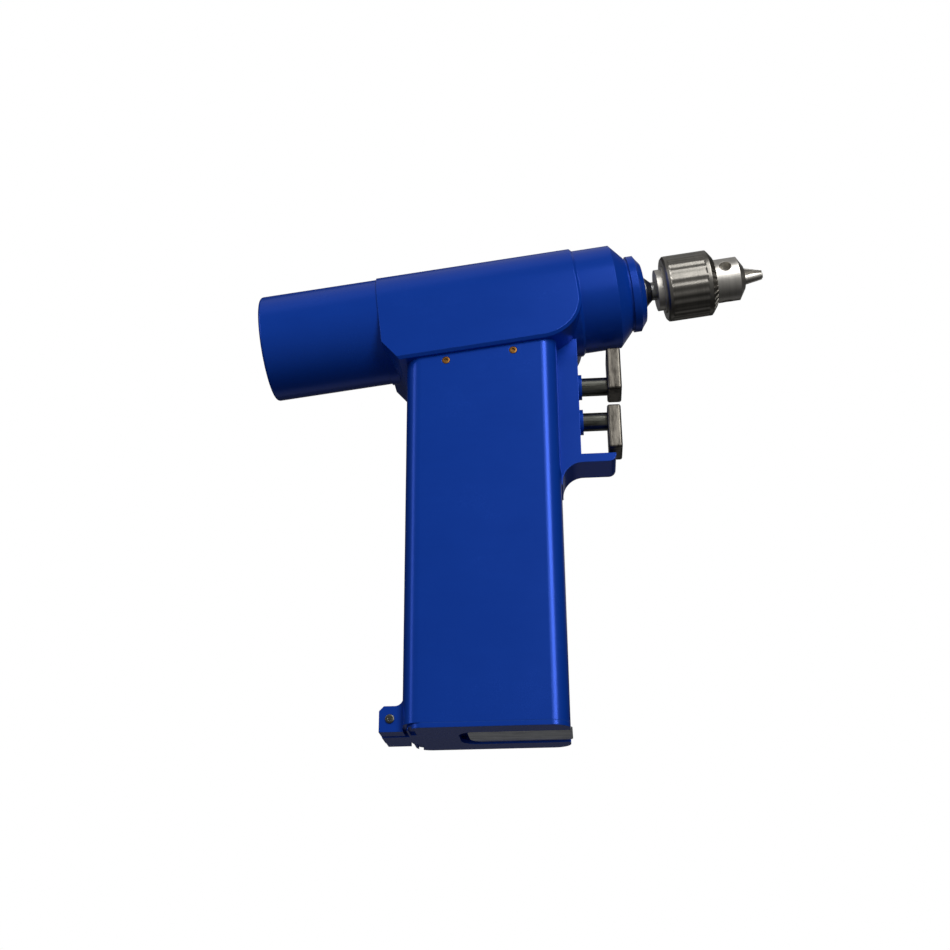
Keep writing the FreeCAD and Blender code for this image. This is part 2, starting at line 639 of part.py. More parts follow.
def make_gearbox():
    ring = new_body("ring_gear")
    start = "(gearbox_end - ring_gear_length)"
    root = "(tooth_module * ring_teeth / 2 + 1.25 * tooth_module)"
    outer = "gearbox_bore - fit_gap"
    turn_profile(ring, [(start, root), ("gearbox_end", root), ("gearbox_end", outer), (start, outer)])
    one = pull(ring, "YZ_Plane", [tooth("ring_teeth", True)], GEAR_START, GEAR_END)
    repeat(ring, one, "ring_teeth")
    in_barrel(ring)
    node(ring, "ring_gear")
    sun = gear("sun_gear", "motor_shaft_radius")
    in_barrel(sun)
    for number in range(3):
        planet = gear("planet_gear_%d" % (number + 1), "planet_pin_radius + fit_gap")
        place_planet(planet, number * 120)
    carrier = new_body("planet_carrier")
    back = "(%s - carrier_length)" % CARRIER_END
    turn_profile(carrier, [
        (back, "spindle_seat"), (CARRIER_END, "spindle_seat"), (CARRIER_END, "carrier_radius - 4"),
        (back + " + 3.5", "carrier_radius"), (back, "carrier_radius")])
    hole = pull(carrier, "YZ_Plane", [("0", ORBIT, "planet_pin_radius")], back + " - 1", back + " + 3", cut=True)
    repeat(carrier, hole, "3")
    in_barrel(carrier)
    node(carrier, "planet_carrier")
    pins = []
    for number in range(3):
        pin = new_body("planet_pin_%d" % (number + 1))
        head = "%s - 1.4" % GEAR_START
        turn_profile(pin, [
            (head, "0"), (head, "planet_pin_radius + 0.9"), (head + " + 1.1", "planet_pin_radius + 0.9"),
            (head + " + 1.1", "planet_pin_radius"), (back + " + 3", "planet_pin_radius"), (back + " + 3", "0")])
        turn = FreeCAD.Placement(FreeCAD.Vector(0, 0, 0),
                                 FreeCAD.Rotation(FreeCAD.Vector(1, 0, 0), number * 120))
        lift = FreeCAD.Placement(FreeCAD.Vector(0, 0, value(ORBIT)), FreeCAD.Rotation())
        pin.Placement = turn.multiply(lift)
        pins.append(pin)
    held = group("planet_pins", pins)
    in_barrel(held)
    node(held, "planet_pins")


def place_planet(planet, degrees):
    """Set a planet on its orbit with a gap between teeth facing the sun and the ring."""
    in_barrel_turned(planet, degrees, ORBIT)
    half_tooth = FreeCAD.Placement(FreeCAD.Vector(0, 0, 0),
                                   FreeCAD.Rotation(FreeCAD.Vector(1, 0, 0), 180 / value("sun_teeth")))
    planet.Placement = planet.Placement.multiply(half_tooth)


def make_spindle():
    body = new_body("spindle")
    back = "(%s - carrier_length)" % CARRIER_END
    turn_profile(body, [
        (back, "0"), (back, "spindle_seat"), (CARRIER_END, "spindle_seat"), (CARRIER_END, "spindle_radius"),
        ("%s + 1" % SEAL_START, "spindle_radius"), ("%s + 1" % SEAL_START, "collar_radius"),
        ("collar_end", "collar_radius"), ("collar_end + 2.6", "arbor_radius"),
        ("chuck_back + 11", "arbor_radius"), ("chuck_back + 11", "0")])
    in_barrel(body)
    node(body, "spindle")


def make_spindle_bearings():
    outer_rings = []
    inner_rings = []
    balls = []
    for name, start in (("back", BEARING_START), ("front", "bearing_front")):
        end = "%s + bearing_width" % start
        outer = new_body("outer_%s" % name)
        reach = "bearing_bore - fit_gap"
        turn_profile(outer, [(start, reach + " - ring_thick"), (end, reach + " - ring_thick"),
                             (end, reach), (start, reach)])
        outer_rings.append(outer)
        inner = new_body("inner_%s" % name)
        turn_profile(inner, [(start, "spindle_radius"), (end, "spindle_radius"),
                             (end, "spindle_radius + ring_thick"), (start, "spindle_radius + ring_thick")])
        inner_rings.append(inner)
        for number in range(int(value("ball_count"))):
            ball = doc.addObject("Part::Sphere", "ball")
            bind(ball, Radius="(bearing_bore - spindle_radius) / 2 - ring_thick - fit_gap",
                 Placement__Base__x="%s + bearing_width / 2" % start,
                 Placement__Base__y="%s * sin(360 / ball_count * %d)" % (BALL_ORBIT, number),
                 Placement__Base__z="%s * cos(360 / ball_count * %d)" % (BALL_ORBIT, number))
            balls.append(ball)
    for name, members in (("bearing_outer_rings", outer_rings), ("bearing_inner_rings", inner_rings),
                          ("bearing_balls", balls)):
        held = group(name, members)
        in_barrel(held)
        node(held, name)
    reach = "bearing_bore - fit_gap"
    ring_body("bearing_spacer", "%s + bearing_width" % BEARING_START, "bearing_front", reach, reach + " - ring_thick")
    ring_body("shaft_seal", SEAL_START, "%s + seal_length" % SEAL_START, reach, "collar_radius + 2 * fit_gap")


def make_nose_nut():
    body = new_body("nose_nut")
    turn_profile(body, [
        ("%s + seal_length" % SEAL_START, "nut_bore"), ("%s + seal_length" % SEAL_START, "bearing_bore - fit_gap"),
        ("cone_end", "bearing_bore - fit_gap"), ("cone_end", "nut_neck"), ("cone_end + 1.1", "nut_neck"),
        ("cone_end + 1.1", "nut_radius"), ("nut_end - 3.4", "nut_radius"), ("nut_end - 2.6", "nut_radius - 1.3"),
        ("nut_end - 0.8", "nut_radius - 3.6"), ("nut_end", "nut_bore + 0.7"), ("nut_end", "nut_bore")])
    in_barrel(body)
    node(body, "nose_nut")


def jaw_axis(station):
    """Distance of a jaw rod's middle line from the barrel axis."""
    return "(jaw_tip_radius - jaw_radius / cos(jaw_tilt) + (jaw_tip - (%s)) * tan(jaw_tilt))" % station


def jaw_rod(name, radius, tip, length):
    """A cylinder on the sloping line of the upper jaw, from its front end backwards."""
    slope = value("jaw_tilt")
    turn = FreeCAD.Rotation(FreeCAD.Vector(0, -1, 0), 90 - slope)
    cylinder = doc.addObject("Part::Cylinder", name)
    bind(cylinder, Radius=radius, Height=length)
    cylinder.Placement = FreeCAD.Placement(FreeCAD.Vector(value(tip), 0, value(jaw_axis(tip))), turn)
    bind(cylinder, Placement__Base__x=tip, Placement__Base__z=jaw_axis(tip),
         Placement__Rotation__Angle="90 - jaw_tilt")
    return cylinder


def turned_copy(name, source, degrees):
    """The same form again, turned about the barrel axis."""
    copy = group(name, [source])
    copy.Placement = FreeCAD.Placement(FreeCAD.Vector(0, 0, 0),
                                       FreeCAD.Rotation(FreeCAD.Vector(1, 0, 0), degrees))
    return copy


def make_chuck():
    core = new_body("chuck_core")
    turn_profile(core, [
        ("chuck_back", "arbor_radius"), ("chuck_back", "flange_radius"), ("sleeve_back - 0.6", "flange_radius"),
        ("sleeve_back - 0.6", "hub_radius"), ("sleeve_front - 6", "hub_radius"),
        ("sleeve_front - 6", "head_radius"), ("head_end", "head_radius"), ("mouth_end", "mouth_radius"),
        ("mouth_end", "0"), ("chuck_back + 11", "0"), ("chuck_back + 11", "arbor_radius")])
    bore = jaw_rod("jaw_bore", "jaw_radius + fit_gap", "jaw_tip + 2", "jaw_length + jaw_travel + 4")
    key = rod("key_hole", "key_hole_radius", "6", ("key_hole_station", "0", "head_radius - 3.8"), (0, 0, 1))
    tools = []
    for number in range(3):
        tools.append(turned_copy("bore_%d" % number, bore, 120 * number))
        tools.append(turned_copy("key_%d" % number, key, 120 * number + 60))
    tools.append(rod("bit_bore", "bit_radius + 1", "30", ("mouth_end - 22", "0", "0"), (1, 0, 0)))
    body = cut("chuck_body", core, group("chuck_cuts", tools))
    in_barrel_turned(body, value("chuck_turn"))
    node(body, "chuck_body")
    make_jaws()
    make_sleeve()


def make_jaws():
    sector = new_body("jaw_sector")
    side = "seat_gap / 2"
    reach = "head_radius + 2"
    pull(sector, "YZ_Plane", [[
        ("0", "%s / sin(60)" % side), ("%s * tan(60)" % reach, "%s + %s / sin(60)" % (reach, side)),
        ("-%s * tan(60)" % reach, "%s + %s / sin(60)" % (reach, side))]],
        "jaw_tip - jaw_length - 4", "jaw_tip")
    groove = rod("bit_groove", "bit_radius", "jaw_length + 10", ("jaw_tip - jaw_length - 5", "0", "0"), (1, 0, 0))
    for number in range(3):
        blank = doc.addObject("Part::Common", "jaw_blank_%d" % number)
        blank.Base = jaw_rod("jaw_rod_%d" % number, "jaw_radius", "jaw_tip + 1", "jaw_length + 1")
        blank.Tool = sector
        jaw = cut("chuck_jaw_%d" % (number + 1), blank, groove)
        in_barrel_turned(jaw, 120 * number + value("chuck_turn"))
        node(jaw, "chuck_jaw_%d" % (number + 1))


def make_sleeve():
    body = new_body("chuck_sleeve")
    relief = "hub_radius + 1.9"
    turn_profile(body, [
        ("sleeve_back", "hub_radius + fit_gap"), ("sleeve_back", "sleeve_radius - 0.8"),
        ("sleeve_back + 0.8", "sleeve_radius"), ("sleeve_teeth", "sleeve_radius"),
        ("sleeve_front", "sleeve_nose"), ("sleeve_front", "head_radius + fit_gap"),
        ("sleeve_front - 5", "head_radius + fit_gap"), ("sleeve_front - 5", relief),
        ("sleeve_back + 5.6", relief), ("sleeve_back + 5.6", "hub_radius + fit_gap")])
    flute = pull(body, "YZ_Plane", [[
        ("-0.5", "sleeve_radius - 0.35"), ("0.5", "sleeve_radius - 0.35"),
        ("0.8", "sleeve_radius + 0.5"), ("-0.8", "sleeve_radius + 0.5")]],
        "sleeve_back + 2.2", "sleeve_teeth - 1.6", cut=True)
    repeat(body, flute, "flute_count")
    notch = slab(body, [[
        ("sleeve_teeth - 0.6", "sleeve_radius + 0.4"), ("sleeve_teeth - 0.6", "sleeve_radius - 1.0"),
        ("sleeve_front + 0.1", "sleeve_nose - 1.0"), ("sleeve_front + 1.4", "sleeve_nose")]],
        "0.55", cut=True)
    repeat(body, notch, "bevel_count")
    in_barrel(body)
    node(body, "chuck_sleeve")
    ring_body("chuck_nut", "sleeve_back + 9", "sleeve_front - 7", relief, "hub_radius + 1")


def make_handle_shell(outline):
    raw = new_body("shell_raw")
    pull(raw, "XY_Plane", [rectangle("-grip_back", "grip_front", "-grip_half", "grip_half")],
         "lid_thick", "%s + 12" % under("grip_front"))
    soften(raw, "grip_corner", lambda edge: straight_along(edge, "z"))
    pull(raw, "XY_Plane", [rectangle(SHELL_BACK, SHELL_FRONT, "-" + SHELL_HALF, SHELL_HALF)],
         "lid_thick - 1", "%s + 13" % under("grip_front"), cut=True)
    inside = value(SHELL_HALF)
    soften(raw, "grip_corner - grip_wall", lambda edge: straight_along(edge, "z")
           and abs(abs(edge.CenterOfMass.y) - inside) < 0.01)
    far_back = "-grip_back - 20"
    far_front = "grip_front + 20"
    slab(raw, [[
        (far_back, "%s + 1" % under(far_back)), (far_front, "%s + 1" % under(far_front)),
        (far_front, "barrel_height"), (far_back, "barrel_height")]], "grip_half + 5", cut=True)
    slab(raw, [[
        ("-lug_back", "seat_gap"), ("%s" % "-grip_back", "seat_gap"), ("-grip_back", "lid_thick"),
        ("-grip_back + 1", "lid_thick"), ("-grip_back + 1", "lug_height"),
        ("-lug_back + 1.8", "lug_height"), ("-lug_back", "lug_height - 1.8")]], "lug_half")
    back = value("-grip_back")
    top = value("lug_height")
    soften(raw, "lug_fillet", lambda edge: straight_along(edge, "y")
           and abs(edge.CenterOfMass.x - back) < 0.01 and abs(edge.CenterOfMass.z - top) < 0.01)
    slab(raw, [rectangle("-lug_back - 1", "-grip_back", "-1", "lug_height + lug_fillet + 1")],
         "knuckle_half + seat_gap", cut=True)
    slab(raw, [("-pin_back", "pin_height", "pin_radius")], "lug_half + 1", cut=True)
    pull(raw, "YZ_Plane", [rectangle("-6.5", "6.5", "lower_height - 6.5", "upper_height + 6.5")],
         "%s - 1" % SHELL_FRONT, "grip_front + 1", cut=True)
    tools = [outline]
    for side in (-1, 1):
        for place in ("-screw_back", "screw_front"):
            height = "%s - screw_drop" % under(place)
            tools.append(screw_hole(side, place))
            tools.append(rod("head_seat", "screw_head + fit_gap", "3",
                             (place, "%d * (grip_half + 2.2)" % side, height), (0, -side, 0)))
    shell = cut("handle_shell", raw, group("shell_cuts", tools))
    in_handle(shell)
    node(shell, "handle_shell")
    screws = []
    for side in (-1, 1):
        for place in ("-screw_back", "screw_front"):
            height = "%s - screw_drop" % under(place)
            fused = doc.addObject("Part::Fuse", "handle_screw")
            fused.Base = rod("screw_head_disc", "screw_head", "1",
                             (place, "%d * (grip_half + 0.2)" % side, height), (0, -side, 0))
            fused.Tool = rod("screw_rod", "screw_shank", "5", (place, "%d * grip_half" % side, height),
                             (0, -side, 0))
            screws.append(fused)
    held = group("handle_screws", screws)
    in_handle(held)
    node(held, "handle_screws")


def make_hinge_pin():
    body = new_body("hinge_pin")
    slab(body, [("-pin_back", "pin_height", "pin_radius")], "lug_half")
    for start, end in (("lug_half", "lug_half + 0.6"), ("-lug_half - 0.6", "-lug_half")):
        pull(body, "XZ_Plane", [("-pin_back", "pin_height", "pin_head")], start, end)
    in_handle(body)
    node(body, "hinge_pin")


def make_lid():
    body = new_body("battery_lid")
    rear = "-grip_back + lid_relief"
    recess = "-latch_back - latch_travel - seat_gap"
    pull(body, "XY_Plane", [rectangle(rear, "grip_front", "-grip_half", "grip_half")], "0", "lid_thick")
    soften(body, "grip_corner", lambda edge: straight_along(edge, "z"))
    boss_half = "%s - 1.1" % SHELL_HALF
    pull(body, "XY_Plane", [clipped("%s + 1.1" % SHELL_BACK, "%s - 1.1" % SHELL_FRONT, boss_half,
                                    "grip_corner / 2")], "lid_thick - 0.5", "lid_boss")
    slab(body, [[
        ("-lug_back", "0"), (rear + " + 0.5", "0"), (rear + " + 0.5", "lid_thick - seat_gap"),
        ("-grip_back - seat_gap", "lid_thick - seat_gap"), ("-grip_back - seat_gap", "pin_height"),
        ("-pin_back", "pin_height"), ("-lug_back", "lid_thick")]], "knuckle_half")
    slab(body, [("-pin_back", "pin_height", "knuckle_radius")], "knuckle_half")
    slab(body, [("-pin_back", "pin_height", "pin_radius + fit_gap")], "knuckle_half + 1", cut=True)
    slab(body, [rectangle(recess, "grip_front + 1", "-1", "latch_sink + latch_thick + fit_gap")],
         "latch_half + seat_gap", cut=True)
    soften(body, "latch_round + seat_gap", lambda edge: (
        straight_along(edge, "z") and abs(edge.CenterOfMass.x - value(recess)) < 0.1))
    slab(body, [rectangle(recess, "grip_front - 3", "latch_sink + latch_thick",
                          "latch_sink + latch_thick + rail_height + fit_gap")],
         "rail_half + fit_gap", cut=True)
    for side in (-1, 1):
        middle = "%d * 13.65" % side
        pull(body, "XY_Plane", [rectangle("-23.9", "-21.7", middle + " - 5.6", middle + " + 5.6")],
             "-1", "0.9", cut=True)
    in_handle(body)
    node(body, "battery_lid")
    latch = new_body("lid_latch")
    pull(latch, "XY_Plane", [rectangle("-latch_back", "latch_front", "-latch_half", "latch_half")],
         "latch_sink", "latch_sink + latch_thick")
    soften(latch, "2.5", lambda edge: straight_along(edge, "z") and edge.CenterOfMass.x > 0)
    soften(latch, "latch_round", lambda edge: straight_along(edge, "z") and edge.CenterOfMass.x < 0)
    pull(latch, "XY_Plane", [rectangle("-latch_back + 3", "grip_front - 3.3", "-rail_half", "rail_half")],
         "latch_sink + latch_thick + fit_gap", "latch_sink + latch_thick + rail_height - fit_gap")
    pull(latch, "XY_Plane", [rectangle("-latch_back + 3", "grip_front - 3.3", "-latch_half + 2", "latch_half - 2")],
         "latch_sink + latch_thick - 0.2", "latch_sink + latch_thick + 0.3")
    in_handle(latch)
    node(latch, "lid_latch")


def make_trigger_housing(outline):
    raw = new_body("neck_raw")
    slab(raw, [[
        ("grip_front", "neck_bottom"), ("grip_front + 0.5", "neck_bottom"), ("grip_front + 0.5", "hook_bottom"),
        ("hook_front", "hook_bottom"), ("hook_front", "hook_top"), ("neck_front", "hook_top"),
        ("neck_front", "%s + 8" % under("neck_front")), ("grip_front", "%s + 2" % under("grip_front"))]],
        "neck_half")
    inner = value("grip_front + 0.5")
    tip = value("hook_front")
    low = value("hook_bottom")
    soften(raw, "hook_fillet", lambda edge: straight_along(edge, "y")
           and abs(edge.CenterOfMass.x - inner) < 0.01 and abs(edge.CenterOfMass.z - low) < 0.01)
    soften(raw, "3", lambda edge: straight_along(edge, "y")
           and abs(edge.CenterOfMass.x - tip) < 0.01 and abs(edge.CenterOfMass.z - low) < 0.01)
    for height in ("upper_height", "lower_height"):
        pull(raw, "YZ_Plane", [("0", height, "bush_radius + 0.02")], "grip_front + 1.5", "neck_front + 1", cut=True)
        pull(raw, "YZ_Plane", [("0", height, "rod_radius + 2 * fit_gap")], "grip_front - 1", "grip_front + 2", cut=True)
    neck = cut("trigger_housing", raw, outline)
    in_handle(neck)
    node(neck, "trigger_housing")
    bushes = []
    for name, height in (("upper_bush", "upper_height"), ("lower_bush", "lower_height")):
        body = new_body(name)
        pull(body, "YZ_Plane", [("0", height, "bush_radius"), ("0", height, "rod_radius + fit_gap")],
             "grip_front + 1.5", "bush_front")
        bushes.append(body)
    held = group("trigger_bushes", bushes)
    in_handle(held)
    node(held, "trigger_bushes")


def make_trigger(name, height, back, front, bottom, top):
    plate = new_body("trigger_plate_%s" % name)
    pull(plate, "YZ_Plane", [rectangle("-plate_half", "plate_half", bottom, top)], back, front)
    soften(plate, "1", lambda edge: True)
    in_handle(plate)
    node(plate, "trigger_plate_%s" % name)
    plunger = new_body("trigger_rod_%s" % name)
    pull(plunger, "YZ_Plane", [("0", height, "rod_radius")], "rod_back", back)
    pull(plunger, "YZ_Plane", [("0", height, "1.5")], "rod_back - 1", "rod_back + 2", cut=True)
    in_handle(plunger)
    node(plunger, "trigger_rod_%s" % name)
    magnet = rod("magnet_rod_%s" % name, "1.5 - fit_gap", "3", ("rod_back - 1", "0", height), (1, 0, 0))
    held = group("trigger_magnet_%s" % name, [magnet])
    in_handle(held)
    node(held, "trigger_magnet_%s" % name)
    spring = new_body("trigger_spring_%s" % name)
    wire = add_sketch(spring, "XZ_Plane", [("strip_front + wire_radius", "coil_radius", "wire_radius")])
    coil = spring.newObject("PartDesign::AdditiveHelix", "coil_%s" % name)
    coil.Profile = wire
    coil.ReferenceAxis = (wire, ["H_Axis"])
    coil.Mode = 0
    pitch = "(rod_back - strip_front - 2 * wire_radius) / coil_turns"
    coil.Pitch = value(pitch)
    coil.Height = value("rod_back - strip_front - 2 * wire_radius")
    bind(coil, Pitch=pitch, Height="rod_back - strip_front - 2 * wire_radius")
    spring.Tip = coil
    bind(spring, Placement__Base__x="frame_shift", Placement__Base__z=height)
    node(spring, "trigger_spring_%s" % name)


def make_electronics():
    strip = block("sensor_board", "strip_front - strip_thick", "strip_front", "7", "block_top + board_thick",
                  "upper_height + 5")
    held = group("sensor_strip", [strip])
    in_handle(held)
    node(held, "sensor_strip")
    sensors = []
    for height in ("upper_height", "lower_height"):
        sensors.append(block("sensor", "strip_front", "strip_front + 1", "1.4", height + " - 1.4", height + " + 1.4"))
    held = group("trigger_sensors", sensors)
    in_handle(held)
    node(held, "trigger_sensors")
    half = "%s - seat_gap" % SHELL_HALF
    base = block("block_base", "%s + seat_gap" % SHELL_BACK, "%s - seat_gap" % SHELL_FRONT, half,
                 "block_bottom", "block_bottom + block_plate")
    posts = []
    for place in (BOARD_BACK + " + 4", "strip_front - 6"):
        for side in ("-", ""):
            posts.append(rod("post", "2.5", "block_thick - block_plate + 1",
                             (place, "%s(%s - 4)" % (side, BOARD_HALF), "block_bottom + block_plate - 1"),
                             (0, 0, 1)))
    fused = doc.addObject("Part::MultiFuse", "block_fused")
    corners = new_body("block_corners")
    pull(corners, "XY_Plane", [rectangle("%s + seat_gap" % SHELL_BACK, "%s - seat_gap" % SHELL_FRONT,
                                         "-(%s)" % half, half)], "block_bottom - 1", "block_top + 1")
    soften(corners, "grip_corner - grip_wall", lambda edge: straight_along(edge, "z"))
    fused.Shapes = [base] + posts
    trimmed = doc.addObject("Part::Common", "contact_block")
    trimmed.Base = fused
    trimmed.Tool = corners
    in_handle(trimmed)
    node(trimmed, "contact_block")
    pins = []
    for number in (-1, 0, 1):
        pins.append(rod("contact_pin", "contact_half / 2", "block_gap - cap_thick - contact_thick",
                        ("%s + %d * contact_pitch" % (SHELL_MIDDLE, number), "0",
                         "case_top + cap_thick + contact_thick"), (0, 0, 1)))
    held = group("contact_pins", pins)
    in_handle(held)
    node(held, "contact_pins")
    board = block("board_plate", BOARD_BACK, "strip_front + 3", BOARD_HALF, "block_top",
                  "block_top + board_thick")
    held = group("control_board", [board])
    in_handle(held)
    node(held, "control_board")
    chips = []
    top = "block_top + board_thick"
    for column, side, size, tall in ((0.15, -0.5, 1, 1), (0.15, 0.5, 1, 1), (0.4, 0, 1.6, 0.6),
                                     (0.68, -0.5, 0.8, 1.8), (0.68, 0.5, 0.8, 1.8)):
        place = "(%s + %s * (strip_front - %s))" % (BOARD_BACK, column, BOARD_BACK)
        reach = "(%s * chip_half)" % size
        chips.append(block("chip", "%s - %s" % (place, reach), "%s + %s" % (place, reach), reach, top,
                           "%s + %s * chip_tall" % (top, tall), "%s * %s" % (side, BOARD_HALF)))
    held = group("board_parts", chips)
    in_handle(held)
    node(held, "board_parts")


def make_battery():
    left = "%s + seat_gap" % SHELL_BACK
    right = "%s - seat_gap" % SHELL_FRONT
    half = "(%s - seat_gap)" % SHELL_HALF
    case = new_body("battery_case")
    pull(case, "XY_Plane", [rectangle(left, right, "-" + half, half)], CASE_BOTTOM, "case_top")
    soften(case, "grip_corner - grip_wall", lambda edge: straight_along(edge, "z"))
    pull(case, "XY_Plane", [clipped(left + " + case_wall", right + " - case_wall", half + " - case_wall", "3.5")],
         "%s + case_wall" % CASE_BOTTOM, "case_top + 1", cut=True)
    in_handle(case)
    node(case, "battery_case")
    cells = []
    middle = "(%s + %s) / 2" % (left, right)
    pitch_along = "(2 * cell_radius + 1)"
    pitch_across = "(2 * cell_radius + 0.3)"
    for level in range(2):
        for column in (-1, 0, 1):
            for side in (-0.5, 0.5):
                cells.append(rod("cell", "cell_radius", "cell_length",
                                 ("%s + %d * %s" % (middle, column, pitch_along),
                                  "%s * %s" % (side, pitch_across),
                                  "%s + case_wall + %d * (cell_length + 1)" % (CASE_BOTTOM, level)), (0, 0, 1)))
    held = group("battery_cells", cells)
    in_handle(held)
    node(held, "battery_cells")
    cap = new_body("battery_cap")
    pull(cap, "XY_Plane", [rectangle(left, right, "-" + half, half)], "case_top", "case_top + cap_thick")
    soften(cap, "grip_corner - grip_wall", lambda edge: straight_along(edge, "z"))
    in_handle(cap)
    node(cap, "battery_cap")
    contacts = []
    for number in (-1, 0, 1):
        place = "(%s + %d * contact_pitch)" % (SHELL_MIDDLE, number)
        contacts.append(block("contact", place + " - contact_half", place + " + contact_half", "contact_side",
                              "case_top + cap_thick", "case_top + cap_thick + contact_thick"))
    held = group("battery_contacts", contacts)
    in_handle(held)
    node(held, "battery_contacts")


outline = housing_outline()
make_main_housing(outline)
make_motor_tube()
make_motor()
make_gearbox()
make_spindle()
make_spindle_bearings()
make_nose_nut()
make_chuck()
make_handle_shell(outline)
make_hinge_pin()
make_lid()
make_trigger_housing(outline)
make_trigger("upper", "upper_height", "upper_plate_back", "upper_plate_front", "upper_plate_bottom",
             "upper_plate_top")
make_trigger("lower", "lower_height", "lower_plate_back", "lower_plate_front", "lower_plate_bottom",
             "lower_plate_top")
make_electronics()
make_battery()

doc.recompute()
broken = [thing.Label for thing in doc.Objects if "Invalid" in thing.State or "Error" in thing.State]
broken += [thing.Label for thing in NODES if thing.Shape.isNull() or not thing.Shape.isValid()]
if broken:
    raise ValueError("These did not come out: %s" % ", ".join(broken))

os.makedirs("parts", exist_ok=True)
for thing in NODES:
    thing.Shape.exportStep("parts/%s.step" % thing.Label)
    print(thing.Label, len(thing.Shape.Solids), round(thing.Shape.Volume, 1))
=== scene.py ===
import bmesh
import bpy
import math
from mathutils import Matrix, Vector


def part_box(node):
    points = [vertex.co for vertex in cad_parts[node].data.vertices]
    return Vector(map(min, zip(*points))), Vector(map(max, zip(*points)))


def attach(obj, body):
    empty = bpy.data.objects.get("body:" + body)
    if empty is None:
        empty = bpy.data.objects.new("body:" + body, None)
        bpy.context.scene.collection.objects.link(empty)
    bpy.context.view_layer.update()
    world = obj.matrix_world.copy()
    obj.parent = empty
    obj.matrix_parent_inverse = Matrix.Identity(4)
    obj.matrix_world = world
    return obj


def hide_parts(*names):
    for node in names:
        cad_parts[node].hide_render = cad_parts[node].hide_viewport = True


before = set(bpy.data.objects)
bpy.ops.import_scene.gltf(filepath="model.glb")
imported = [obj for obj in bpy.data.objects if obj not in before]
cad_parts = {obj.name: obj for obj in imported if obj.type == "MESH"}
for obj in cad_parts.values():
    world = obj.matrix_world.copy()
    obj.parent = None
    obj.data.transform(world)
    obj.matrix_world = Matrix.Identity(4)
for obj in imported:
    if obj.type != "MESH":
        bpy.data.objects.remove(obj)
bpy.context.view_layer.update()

# Places and sizes of the drill, in metres, in the same frame as its solids.
ZERO_LINE = 0.014
AXIS_HEIGHT = 0.1808
TILT = math.radians(6.8)
BARREL = Vector((math.cos(TILT), 0.0, math.sin(TILT)))
BARREL_UP = Vector((-math.sin(TILT), 0.0, math.cos(TILT)))
SIDE = Vector((0.0, 1.0, 0.0))
BARREL_START = Vector((ZERO_LINE, 0.0, AXIS_HEIGHT))
MM = 0.001

# The handle screws, in mm: their places along the drill, how far the housing's sides reach below the
# barrel's middle line, and how far below that edge the screws are.
SCREW_PLACES = (-9.7, 17.7)
SIDE_DEPTH = 26.4
SCREW_DROP = 2.9

# A screw head from its shank outwards, each level as a height in head heights and a share of the radius.
HEAD_OUTLINE = ((-2.6, 0.5), (-0.9, 0.5), (-0.5, 1.0), (0.45, 1.0), (0.8, 0.92), (1.0, 0.74))
SOCKET_SHARE = 0.5
SOCKET_FLOOR = -0.3
HEAD_STEPS = 48
PIN_STEPS = 32

# The floor is this wide to each side, and lies this far under the drill so that the two don't flicker.
FLOOR_REACH = 6.0
FLOOR_DROP = 0.0003

# The point that most softboxes are turned to.
DRILL_MIDDLE = (0.02, 0.0, 0.12)

# The room's light: where it comes from, and how bright it is on the dark and on the light side.
ROOM_LIGHT = (-0.1, -0.98, 0.1)
ROOM_DARK = 0.03
ROOM_BRIGHT = 0.23


class Field:
    """A value or colour that a finish works out, kept as the socket that carries it."""

    def __init__(self, finish, socket):
        self.finish = finish
        self.socket = socket

    def maths(self, operation, *others):
        return self.finish.add("ShaderNodeMath", {"operation": operation}, (self,) + others)

    def __add__(self, other):
        return self.maths("ADD", other)

    def __sub__(self, other):
        return self.maths("SUBTRACT", other)

    def __mul__(self, other):
        return self.maths("MULTIPLY", other)

    def __radd__(self, other):
        return self.maths("ADD", other)

    def __rsub__(self, other):
        return self.finish.add("ShaderNodeMath", {"operation": "SUBTRACT"}, (other, self))

    def between(self, low, high):
        """0 below low, 1 above high, and a smooth climb from one to the other."""
        settings = {"interpolation_type": "SMOOTHSTEP"}
        values = {"Value": self, "From Min": low, "From Max": high}
        return self.finish.add("ShaderNodeMapRange", settings, values)


